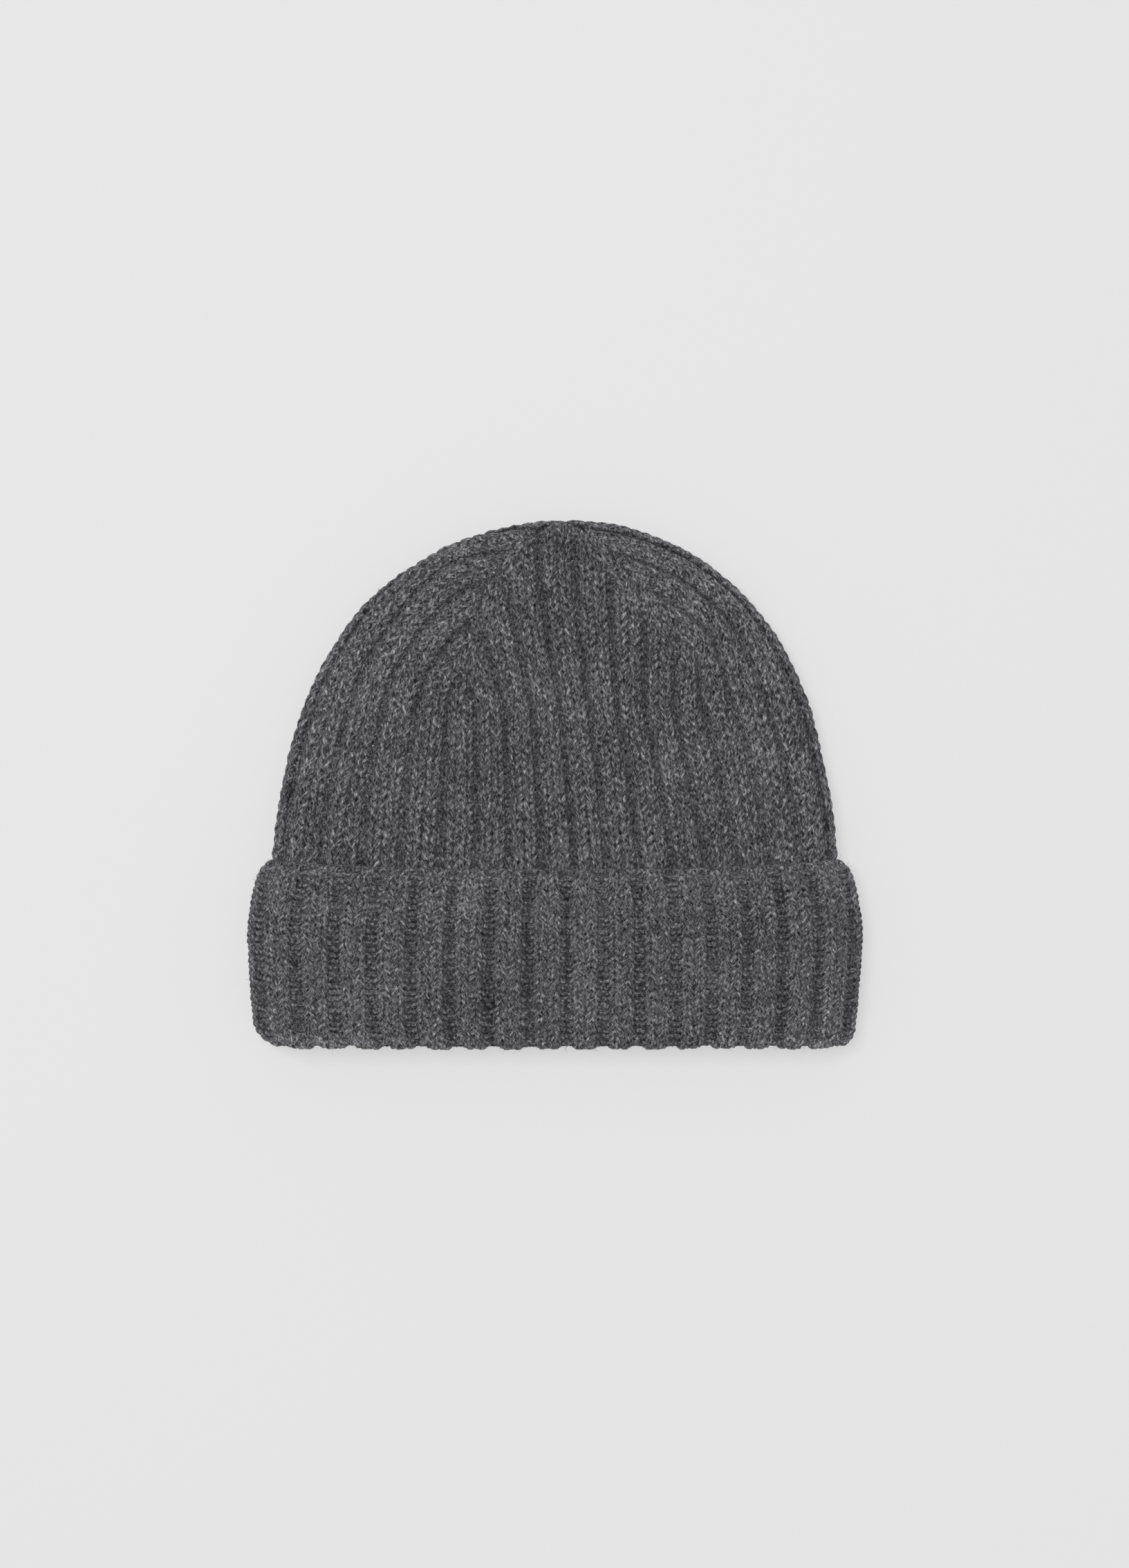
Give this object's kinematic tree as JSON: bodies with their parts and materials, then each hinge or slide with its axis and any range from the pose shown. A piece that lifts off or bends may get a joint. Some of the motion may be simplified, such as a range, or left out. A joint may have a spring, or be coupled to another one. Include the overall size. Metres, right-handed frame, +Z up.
{
  "type": "knit beanie",
  "caption": "Rib-knit winter hat with a domed, gathered crown and a wide turned-up cuff, lying flat.",
  "frame": {"origin": "middle of the hat's footprint, on the surface that it lies on", "axes": "+Y from the mouth to the crown, +Z up through the front of the hat, +X to the right seen from above"},
  "size_m": [0.2308, 0.1986, 0.025],
  "materials": {
    "body_knit": "melange charcoal wool rib knit",
    "cuff_knit": "melange charcoal wool rib knit",
    "seam_yarn": "charcoal wool yarn",
    "label": "plain woven satin, blank"
  },
  "bodies": {
    "hat_body": {"knit_body": "body_knit", "back_seam_yarn": "seam_yarn", "crown_closing_yarn": "seam_yarn", "care_label": "label", "label_stitch_thread": "seam_yarn"},
    "cuff": {"turn_up_cuff": "cuff_knit", "cuff_seam_yarn": "seam_yarn"}
  },
  "joints": [
    {"name": "cuff_turn_down", "type": "slide", "parent": "hat_body", "child": "cuff", "axis": [0, -1, 0], "range_m": [0, 0.05]}
  ]
}
